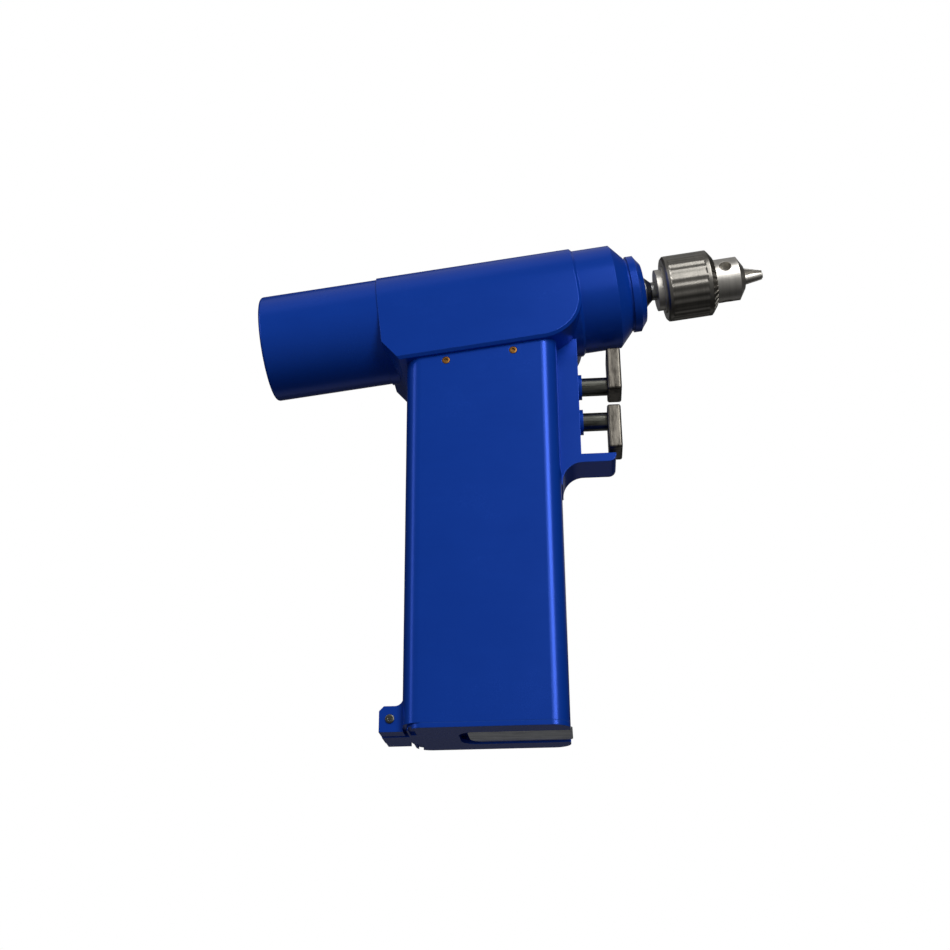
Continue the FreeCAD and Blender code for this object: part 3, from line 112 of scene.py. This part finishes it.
class Finish:
    """A material with its shader, and the calls that add nodes to it."""

    def __init__(self, name, **constants):
        self.material = bpy.data.materials.new(name)
        self.material.use_nodes = True
        self.tree = self.material.node_tree
        self.shader = self.tree.nodes["Principled BSDF"]
        for socket, number in constants.items():
            self.shader.inputs[socket.replace("_", " ")].default_value = number

    def add(self, kind, settings, values, output=0):
        """A node of one kind: its settings come first, then a value or a field for each socket."""
        node = self.tree.nodes.new(kind)
        for name, setting in settings.items():
            setattr(node, name, setting)
        pairs = values.items() if isinstance(values, dict) else enumerate(values)
        for socket, value in pairs:
            self.feed(node.inputs[socket], value)
        return Field(self, node.outputs[output])

    def feed(self, socket, value):
        if isinstance(value, Field):
            self.tree.links.new(value.socket, socket)
        else:
            socket.default_value = value

    def feed_shader(self, **values):
        for socket, value in values.items():
            self.feed(self.shader.inputs[socket.replace("_", " ")], value)

    def place(self):
        """The point on the piece, in metres, which goes with the piece when it moves."""
        return self.add("ShaderNodeTexCoord", {}, {}, "Object")

    def turned_place(self):
        """The same point with the barrel's slope taken out, so that X runs along the barrel."""
        settings = {"rotation_type": "Y_AXIS"}
        values = {"Vector": self.place(), "Center": tuple(BARREL_START), "Angle": TILT}
        return self.add("ShaderNodeVectorRotate", settings, values)

    def stretched(self, place, across, side, up):
        return self.add("ShaderNodeVectorMath", {"operation": "MULTIPLY"}, (place, (across, side, up)))

    def noise(self, place, scale, detail=3.0, roughness=0.5):
        values = {"Vector": place, "Scale": scale, "Detail": detail, "Roughness": roughness}
        return self.add("ShaderNodeTexNoise", {}, values)

    def blend(self, share, first, second):
        """A colour between two others, by a share that goes from 0 to 1."""
        # Sockets 6 and 7 are the two colours, and output 2 is the mixed colour.
        values = {0: share, 6: opaque(first), 7: opaque(second)}
        return self.add("ShaderNodeMix", {"data_type": "RGBA"}, values, 2)

    def rounded(self, radius):
        """The surface direction as if every sharp edge had a small rounding."""
        return self.add("ShaderNodeBevel", {"samples": 6}, {"Radius": radius})

    def edge_share(self, rounded):
        """1 along the edges and 0 on the open faces."""
        true_direction = self.add("ShaderNodeNewGeometry", {}, {}, "Normal")
        settings = {"operation": "DOT_PRODUCT"}
        alike = self.add("ShaderNodeVectorMath", settings, (rounded, true_direction), "Value")
        return (1.0 - alike).between(0.02, 0.22)

    def bump(self, height, strength, distance, direction):
        values = {"Strength": strength, "Distance": distance, "Height": height, "Normal": direction}
        self.feed(self.shader.inputs["Normal"], self.add("ShaderNodeBump", {}, values))


def opaque(colour):
    return colour if isinstance(colour, Field) else tuple(colour) + (1.0,)


def screen(red, green, blue):
    """A colour written as it looks on a screen, from 0 to 255, made linear."""
    parts = []
    for part in (red, green, blue):
        share = part / 255
        parts.append(share / 12.92 if share <= 0.04045 else ((share + 0.055) / 1.055) ** 2.4)
    return tuple(parts)


def blue_anodised():
    """Satin blue aluminium: a blasted grain, faint clouding and a painted highlight that makes the edges a
    little brighter.
    """
    finish = Finish("blue_anodised", Metallic=0.3, Specular_IOR_Level=0.22)
    place = finish.place()
    clouds = finish.noise(place, 38.0, 4.0, 0.55)
    grain = finish.noise(place, 5200.0, 2.0, 0.6)
    streak_noise = finish.noise(finish.stretched(place, 60.0, 60.0, 420.0), 1.0, 5.0, 0.6)
    direction = finish.rounded(0.00035)
    edge = finish.edge_share(direction)
    deep = finish.blend(clouds * 0.6 + streak_noise * 0.4, screen(4, 57, 163), screen(7, 65, 177))
    grainy = finish.blend(grain * 0.12, deep, screen(40, 96, 205))
    # Painted highlight: a light blue is blended in along the edges, patchy with the streak noise.
    colour = finish.blend(edge * (0.05 + streak_noise * 0.5), grainy, screen(70, 124, 214))
    finish.feed_shader(Base_Color=colour, Roughness=0.2 + clouds * 0.08 + grain * 0.04)
    finish.bump(grain, 0.10, 0.00004, direction)
    return finish.material


def turned_steel(name, light, dark, roughness):
    """Lathe-turned steel: fine rings round the barrel axis and a little staining."""
    finish = Finish(name, Metallic=1.0)
    place = finish.turned_place()
    lines = finish.noise(finish.stretched(place, 2600.0, 8.0, 8.0), 1.0, 3.0, 0.7)
    stain = finish.noise(place, 140.0, 4.0, 0.6)
    direction = finish.rounded(0.0002)
    edge = finish.edge_share(direction)
    worn = finish.blend(lines * 0.5 + stain * 0.5, dark, light)
    colour = finish.blend(edge * 0.7, worn, screen(214, 210, 202))
    finish.feed_shader(Base_Color=colour, Roughness=roughness - 0.08 + lines * 0.16 + stain * 0.06)
    finish.bump(lines, 0.18, 0.00004, direction)
    return finish.material


def streaked_steel(name, light, dark, along, roughness):
    """Steel sheet rubbed one way: long streaks of uneven shine."""
    finish = Finish(name, Metallic=1.0)
    place = finish.place()
    streaks = finish.noise(finish.stretched(place, *along), 1.0, 6.0, 0.72)
    clouds = finish.noise(place, 160.0, 3.0, 0.5)
    direction = finish.rounded(0.00025)
    edge = finish.edge_share(direction)
    mask = (streaks * 0.75 + clouds * 0.25).between(0.32, 0.68)
    colour = finish.blend(edge * 0.6, finish.blend(mask, dark, light), screen(205, 206, 208))
    finish.feed_shader(Base_Color=colour, Roughness=roughness + streaks * 0.22)
    finish.bump(streaks, 0.22, 0.00005, direction)
    return finish.material


def black_plastic():
    """Moulded plastic with a fine spark-eroded grain."""
    finish = Finish("black_plastic", Specular_IOR_Level=0.4)
    place = finish.place()
    grain = finish.noise(place, 2600.0, 2.0, 0.5)
    clouds = finish.noise(place, 90.0, 3.0, 0.5)
    colour = finish.blend(clouds, screen(20, 21, 23), screen(36, 37, 40))
    finish.feed_shader(Base_Color=colour, Roughness=0.5 + grain * 0.15)
    finish.bump(grain, 0.15, 0.00005, finish.rounded(0.0002))
    return finish.material


def circuit_board():
    """Green varnished board with copper tracks showing through."""
    finish = Finish("circuit_board", Specular_IOR_Level=0.5)
    place = finish.place()
    values = {"Vector": place, "Scale": 420.0, "Mortar Size": 0.06}
    tracks = finish.add("ShaderNodeTexBrick", {"offset": 0.5}, values, "Fac")
    clouds = finish.noise(place, 200.0, 3.0, 0.5)
    green = finish.blend(clouds, screen(16, 74, 42), screen(28, 104, 60))
    colour = finish.blend(tracks * 0.6, green, screen(86, 128, 60))
    finish.feed_shader(Base_Color=colour, Roughness=0.35 + tracks * 0.1)
    finish.bump(tracks, 0.2, 0.00005, finish.rounded(0.0001))
    return finish.material


def copper_winding():
    """Varnished copper wire laid side by side."""
    finish = Finish("copper_winding", Metallic=0.9)
    settings = {"wave_type": "BANDS", "bands_direction": "X"}
    values = {"Vector": finish.turned_place(), "Scale": 900.0, "Distortion": 1.2, "Detail": 2.0}
    wires = finish.add("ShaderNodeTexWave", settings, values, "Fac")
    colour = finish.blend(wires, screen(92, 44, 20), screen(196, 118, 66))
    finish.feed_shader(Base_Color=colour, Roughness=0.3 + wires * 0.2)
    finish.bump(wires, 0.4, 0.0001, finish.rounded(0.0001))
    return finish.material


def cell_wrap():
    """Shrink-wrapped battery cells, with the wrap drawn tight in faint ripples."""
    finish = Finish("cell_wrap", Specular_IOR_Level=0.5)
    place = finish.place()
    ripples = finish.noise(finish.stretched(place, 300.0, 300.0, 60.0), 1.0, 3.0, 0.5)
    colour = finish.blend(ripples, screen(44, 92, 132), screen(72, 128, 168))
    finish.feed_shader(Base_Color=colour, Roughness=0.22 + ripples * 0.2)
    finish.bump(ripples, 0.2, 0.0001, finish.rounded(0.0002))
    return finish.material


def brass_screw():
    """Brass-coloured screw heads with uneven tarnish, and darker along their edges."""
    finish = Finish("brass_screw", Metallic=1.0)
    place = finish.place()
    tarnish = finish.noise(place, 1500.0, 4.0, 0.6)
    direction = finish.rounded(0.0001)
    stained = finish.blend(tarnish, screen(84, 54, 26), screen(176, 124, 66))
    # The edges are blended towards a dark brown.
    colour = finish.blend(finish.edge_share(direction) * 0.6, stained, screen(58, 40, 26))
    finish.feed_shader(Base_Color=colour, Roughness=0.3 + tarnish * 0.25)
    finish.bump(tarnish, 0.15, 0.00005, direction)
    return finish.material


def seal_rubber():
    """Black silicone with a dusty bloom."""
    finish = Finish("seal_rubber", Specular_IOR_Level=0.3)
    bloom = finish.noise(finish.place(), 700.0, 4.0, 0.6)
    colour = finish.blend(bloom, screen(24, 24, 25), screen(58, 58, 58))
    finish.feed_shader(Base_Color=colour, Roughness=0.6 + bloom * 0.25)
    finish.bump(bloom, 0.2, 0.0001, finish.rounded(0.0002))
    return finish.material


def give(material, *nodes):
    """Put a finish on solids that are carried over as they are."""
    for name in nodes:
        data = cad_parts[name].data
        data.materials.clear()
        data.materials.append(material)


def new_piece(name, mesh, material, body):
    """A finished mesh becomes a piece that rides on a body."""
    bmesh.ops.recalc_face_normals(mesh, faces=mesh.faces)
    data = bpy.data.meshes.new(name)
    mesh.to_mesh(data)
    mesh.free()
    data.materials.append(material)
    piece = bpy.data.objects.new(name, data)
    bpy.context.scene.collection.objects.link(piece)
    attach(piece, body)
    return piece


def joined_rings(mesh, rings):
    """Faces between each ring of points and the next."""
    for first, second in zip(rings, rings[1:]):
        for step in range(len(first)):
            following = (step + 1) % len(first)
            mesh.faces.new([first[step], first[following], second[following], second[step]])


def hex_socket_screw(mesh, centre, outward, radius, height):
    """A small domed screw head with a six-sided socket, standing on its centre point."""
    across = outward.orthogonal().normalized()
    beside = outward.cross(across).normalized()

    def round_size(turn):
        return radius

    def six_sided_size(turn):
        return radius * math.cos(math.pi / 6) / math.cos(turn % (math.pi / 3) - math.pi / 6)

    def ring(level, share, size):
        made = []
        for step in range(HEAD_STEPS):
            turn = 2 * math.pi * step / HEAD_STEPS
            spot = across * math.cos(turn) + beside * math.sin(turn)
            made.append(mesh.verts.new(centre + outward * (level * height) + spot * (share * size(turn))))
        return made

    rings = [ring(level, share, round_size) for level, share in HEAD_OUTLINE]
    rings.append(ring(1.0, SOCKET_SHARE, six_sided_size))
    rings.append(ring(SOCKET_FLOOR, SOCKET_SHARE, six_sided_size))
    joined_rings(mesh, rings)
    mesh.faces.new(rings[0])
    mesh.faces.new(rings[-1])


def make_handle_screws(material):
    """Four small brass-coloured screws that hold the handle shell to the main housing."""
    mesh = bmesh.new()
    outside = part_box("handle_screws")[1].y
    radius = 1.62 * MM
    height = 0.4 * MM
    for side in (-1, 1):
        for place in SCREW_PLACES:
            below = SIDE_DEPTH / math.cos(TILT) - place * math.tan(TILT) + SCREW_DROP
            centre = Vector((ZERO_LINE + place * MM, side * (outside - height), AXIS_HEIGHT - below * MM))
            hex_socket_screw(mesh, centre, Vector((0, side, 0)), radius, height)
    screws = new_piece("brass_socket_screws", mesh, material, "drill_body")
    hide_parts("handle_screws")


def make_hinge_pin(material):
    """The hinge pin: a rod with a socket head at each end."""
    mesh = bmesh.new()
    low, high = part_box("hinge_pin")
    middle = (low + high) / 2
    head_radius = 1.72 * MM
    head_height = 0.35 * MM
    rod_radius = 1.45 * MM
    rod_end = high.y - 1.4 * MM
    for side in (-1, 1):
        centre = Vector((middle.x, side * (high.y - head_height), middle.z))
        hex_socket_screw(mesh, centre, Vector((0, side, 0)), head_radius, head_height)
    rings = []
    for side in (-1, 1):
        ring = []
        for step in range(PIN_STEPS):
            turn = 2 * math.pi * step / PIN_STEPS
            spot = Vector((math.cos(turn) * rod_radius, side * rod_end, math.sin(turn) * rod_radius))
            ring.append(mesh.verts.new(Vector((middle.x, 0.0, middle.z)) + spot))
        rings.append(ring)
    joined_rings(mesh, rings)
    mesh.faces.new(rings[0])
    mesh.faces.new(rings[1])
    pin = new_piece("socket_head_hinge_pin", mesh, material, "drill_body")
    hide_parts("hinge_pin")


def make_chuck_sleeve(material):
    """The chuck's sleeve with scalloped flutes for the fingers and bevel teeth for the key."""
    flutes = 24
    flute_depth = 0.24
    teeth = 30
    tooth_depth = 0.95
    steps = 720
    back = 82.45
    front = 104.05
    outside = 13.95
    hub = 10.1
    head = 9.45
    hollow = 11.7

    def scallop(turn):
        return flute_depth * (0.5 - 0.5 * math.cos(turn * flutes))

    def tooth_gap(turn):
        return tooth_depth * min(max(0.5 - 1.6 * math.cos(turn * teeth), 0.0), 1.0)

    # Each row, in mm: place along the barrel, radius, share of the flutes' depth, share of the teeth's depth.
    profile = [
        (back, hub, 0.0, 0.0), (back, outside - 0.95, 0.0, 0.0), (back + 0.75, outside - 0.1, 0.0, 0.0),
        (back + 1.75, outside, 0.0, 0.0), (back + 2.35, outside, 1.0, 0.0), (front - 4.65, outside, 1.0, 0.0),
        (front - 4.05, outside, 0.0, 0.0), (front - 2.85, outside, 0.0, 0.0),
        (front - 2.55, outside - 0.05, 0.0, 0.0), (front - 2.15, outside - 0.45, 0.0, 1.0),
        (front - 0.15, outside - 3.2, 0.0, 1.0), (front, outside - 3.65, 0.0, 0.3), (front, head, 0.0, 0.0),
        (front - 4.75, head, 0.0, 0.0), (front - 4.75, hollow, 0.0, 0.0), (back + 5.75, hollow, 0.0, 0.0),
        (back + 5.75, hub, 0.0, 0.0)]
    mesh = bmesh.new()
    rings = []
    for station, radius, fluted, toothed in profile:
        ring = []
        for step in range(steps):
            turn = 2 * math.pi * step / steps
            size = radius - fluted * scallop(turn) - toothed * tooth_gap(turn)
            spot = BARREL_UP * math.cos(turn) - SIDE * math.sin(turn)
            ring.append(mesh.verts.new(BARREL_START + BARREL * station * MM + spot * size * MM))
        rings.append(ring)
    joined_rings(mesh, rings + rings[:1])
    sleeve = new_piece("fluted_chuck_sleeve", mesh, material, "chuck_grip")
    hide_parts("chuck_sleeve")


def make_floor():
    """A pale floor that keeps the drill's shadow, and that the camera under it looks through."""
    mesh = bmesh.new()
    bmesh.ops.create_grid(mesh, x_segments=1, y_segments=1, size=FLOOR_REACH)
    data = bpy.data.meshes.new("studio_floor")
    mesh.to_mesh(data)
    mesh.free()
    floor = bpy.data.objects.new("studio_floor", data)
    floor.location = (0.0, 0.0, -FLOOR_DROP)
    bpy.context.scene.collection.objects.link(floor)
    material = bpy.data.materials.new("pale_floor")
    material.use_nodes = True
    tree = material.node_tree
    tree.nodes.clear()
    output = tree.nodes.new("ShaderNodeOutputMaterial")
    mix = tree.nodes.new("ShaderNodeMixShader")
    clear = tree.nodes.new("ShaderNodeBsdfTransparent")
    pale = tree.nodes.new("ShaderNodeBsdfDiffuse")
    pale.inputs["Color"].default_value = (0.9, 0.9, 0.9, 1.0)
    rays = tree.nodes.new("ShaderNodeLightPath")
    faces = tree.nodes.new("ShaderNodeNewGeometry")
    front = tree.nodes.new("ShaderNodeMath")
    front.operation = "SUBTRACT"
    front.inputs[0].default_value = 1.0
    tree.links.new(faces.outputs["Backfacing"], front.inputs[1])
    seen = tree.nodes.new("ShaderNodeMath")
    seen.operation = "MULTIPLY"
    tree.links.new(rays.outputs["Is Camera Ray"], seen.inputs[0])
    tree.links.new(front.outputs[0], seen.inputs[1])
    tree.links.new(seen.outputs[0], mix.inputs[0])
    tree.links.new(clear.outputs[0], mix.inputs[1])
    tree.links.new(pale.outputs[0], mix.inputs[2])
    tree.links.new(mix.outputs[0], output.inputs["Surface"])
    data.materials.append(material)


def make_world():
    """White for the camera, and for everything else a dim room that is lightest on the camera's side."""
    world = bpy.data.worlds.new("studio")
    bpy.context.scene.world = world
    world.use_nodes = True
    tree = world.node_tree
    tree.nodes.clear()
    output = tree.nodes.new("ShaderNodeOutputWorld")
    white = tree.nodes.new("ShaderNodeBackground")
    white.inputs["Color"].default_value = (1.0, 1.0, 1.0, 1.0)
    white.inputs["Strength"].default_value = 1.0
    room = tree.nodes.new("ShaderNodeBackground")
    room.inputs["Color"].default_value = (1.0, 1.0, 1.0, 1.0)
    towards = tree.nodes.new("ShaderNodeTexCoord")
    lightest = tree.nodes.new("ShaderNodeVectorMath")
    lightest.operation = "DOT_PRODUCT"
    lightest.inputs[1].default_value = ROOM_LIGHT
    tree.links.new(towards.outputs["Generated"], lightest.inputs[0])
    level = tree.nodes.new("ShaderNodeMapRange")
    level.interpolation_type = "SMOOTHSTEP"
    level.inputs["From Min"].default_value = -0.4
    level.inputs["To Min"].default_value = ROOM_DARK
    level.inputs["To Max"].default_value = ROOM_BRIGHT
    tree.links.new(lightest.outputs["Value"], level.inputs["Value"])
    tree.links.new(level.outputs[0], room.inputs["Strength"])
    rays = tree.nodes.new("ShaderNodeLightPath")
    seen = tree.nodes.new("ShaderNodeMath")
    seen.operation = "MAXIMUM"
    tree.links.new(rays.outputs["Is Camera Ray"], seen.inputs[0])
    tree.links.new(rays.outputs["Is Transmission Ray"], seen.inputs[1])
    mix = tree.nodes.new("ShaderNodeMixShader")
    tree.links.new(seen.outputs[0], mix.inputs[0])
    tree.links.new(room.outputs[0], mix.inputs[1])
    tree.links.new(white.outputs[0], mix.inputs[2])
    tree.links.new(mix.outputs[0], output.inputs["Surface"])


def softbox(name, place, target, width, height, power):
    """A soft rectangular lamp that is turned to a point and that the camera doesn't see."""
    light = bpy.data.lights.new(name, "AREA")
    light.shape = "RECTANGLE"
    light.size = width
    light.size_y = height
    light.energy = power
    lamp = bpy.data.objects.new(name, light)
    lamp.location = place
    lamp.rotation_euler = (Vector(target) - Vector(place)).to_track_quat("-Z", "Y").to_euler()
    lamp.visible_camera = False
    bpy.context.scene.collection.objects.link(lamp)


def make_camera():
    """The photograph's view: from the drill's right side and from below it."""
    turn = math.radians(4.51)
    lift = math.radians(-23.12)
    roll = math.radians(-0.47)
    distance = 0.53696
    focal_share = 1315.34 / 950
    film_width = 36.0
    back = Vector((math.sin(turn) * math.cos(lift), -math.cos(turn) * math.cos(lift), math.sin(lift)))
    level = Vector((math.cos(turn), math.sin(turn), 0.0))
    upward = back.cross(level)
    right = level * math.cos(roll) + upward * math.sin(roll)
    above = upward * math.cos(roll) - level * math.sin(roll)
    target = Vector((ZERO_LINE + 0.14 * MM, 0.0, 107.68 * MM))
    data = bpy.data.cameras.new("photo_camera")
    data.lens = film_width * focal_share
    data.sensor_width = film_width
    data.clip_start = 0.01
    data.clip_end = 20.0
    camera = bpy.data.objects.new("photo_camera", data)
    pose = Matrix((right, above, back)).transposed().to_4x4()
    pose.translation = target + back * distance
    camera.matrix_world = pose
    bpy.context.scene.collection.objects.link(camera)
    bpy.context.scene.camera = camera


blue = blue_anodised()
give(blue, "main_housing", "motor_tube", "nose_nut", "handle_shell", "trigger_housing", "battery_lid",
     "trigger_bushes")
sleeve_steel = turned_steel("sleeve_steel", screen(164, 160, 152), screen(98, 96, 92), 0.3)
head_steel = turned_steel("head_steel", screen(228, 224, 216), screen(172, 169, 163), 0.36)
give(head_steel, "chuck_body", "chuck_nut", "chuck_jaw_1", "chuck_jaw_2", "chuck_jaw_3")
spindle_steel = turned_steel("spindle_steel", screen(170, 170, 168), screen(110, 111, 112), 0.22)
give(spindle_steel, "spindle", "motor_can", "motor_shaft", "motor_bearings", "motor_front_plate", "ring_gear",
     "sun_gear", "planet_gear_1", "planet_gear_2", "planet_gear_3", "planet_carrier", "planet_pins",
     "bearing_outer_rings", "bearing_inner_rings", "bearing_balls", "bearing_spacer")
rod_steel = streaked_steel("rod_steel", screen(128, 128, 120), screen(66, 67, 62), (60.0, 900.0, 900.0), 0.18)
give(rod_steel, "trigger_rod_upper", "trigger_rod_lower", "trigger_spring_upper", "trigger_spring_lower")
plate_steel = streaked_steel("trigger_plate_steel", screen(134, 129, 120), screen(44, 41, 38),
                             (420.0, 420.0, 90.0), 0.26)
give(plate_steel, "trigger_plate_upper", "trigger_plate_lower")
latch_steel = streaked_steel("latch_steel", screen(236, 238, 242), screen(178, 182, 188),
                             (60.0, 800.0, 800.0), 0.4)
give(latch_steel, "lid_latch")
magnet = streaked_steel("nickel_plate", screen(200, 202, 206), screen(140, 142, 148),
                        (300.0, 300.0, 300.0), 0.12)
give(magnet, "rotor_magnet", "trigger_magnet_upper", "trigger_magnet_lower")
give(black_plastic(), "battery_case", "battery_cap", "contact_block", "board_parts", "trigger_sensors")
give(circuit_board(), "control_board", "sensor_strip")
give(copper_winding(), "motor_stator")
give(cell_wrap(), "battery_cells")
brass = brass_screw()
give(brass, "battery_contacts", "contact_pins")
give(seal_rubber(), "tube_seal", "shaft_seal", "motor_pad")

make_handle_screws(brass)
make_hinge_pin(rod_steel)
make_chuck_sleeve(sleeve_steel)

make_floor()
make_world()
softbox("right_softbox", (0.46, -0.90, 0.55), DRILL_MIDDLE, 0.42, 0.9, 7.8)
softbox("left_softbox", (-0.85, -0.56, 0.55), (0.0, 0.0, 0.12), 0.3, 0.9, 1.6)
softbox("top_softbox", (-0.1, 0.1, 1.35), DRILL_MIDDLE, 2.0, 0.8, 1.4)
softbox("front_softbox", (1.0, -0.9, -0.1), (0.1, 0.0, 0.15), 0.3, 0.5, 0.3)
softbox("back_softbox", (0.2, 1.2, 0.8), DRILL_MIDDLE, 1.4, 0.8, 0.6)
softbox("low_softbox", (-0.1, 1.2, -0.6), (0.02, 0.0, 0.0), 1.6, 0.6, 0.4)
make_camera()

bpy.context.scene.view_settings.view_transform = "Standard"
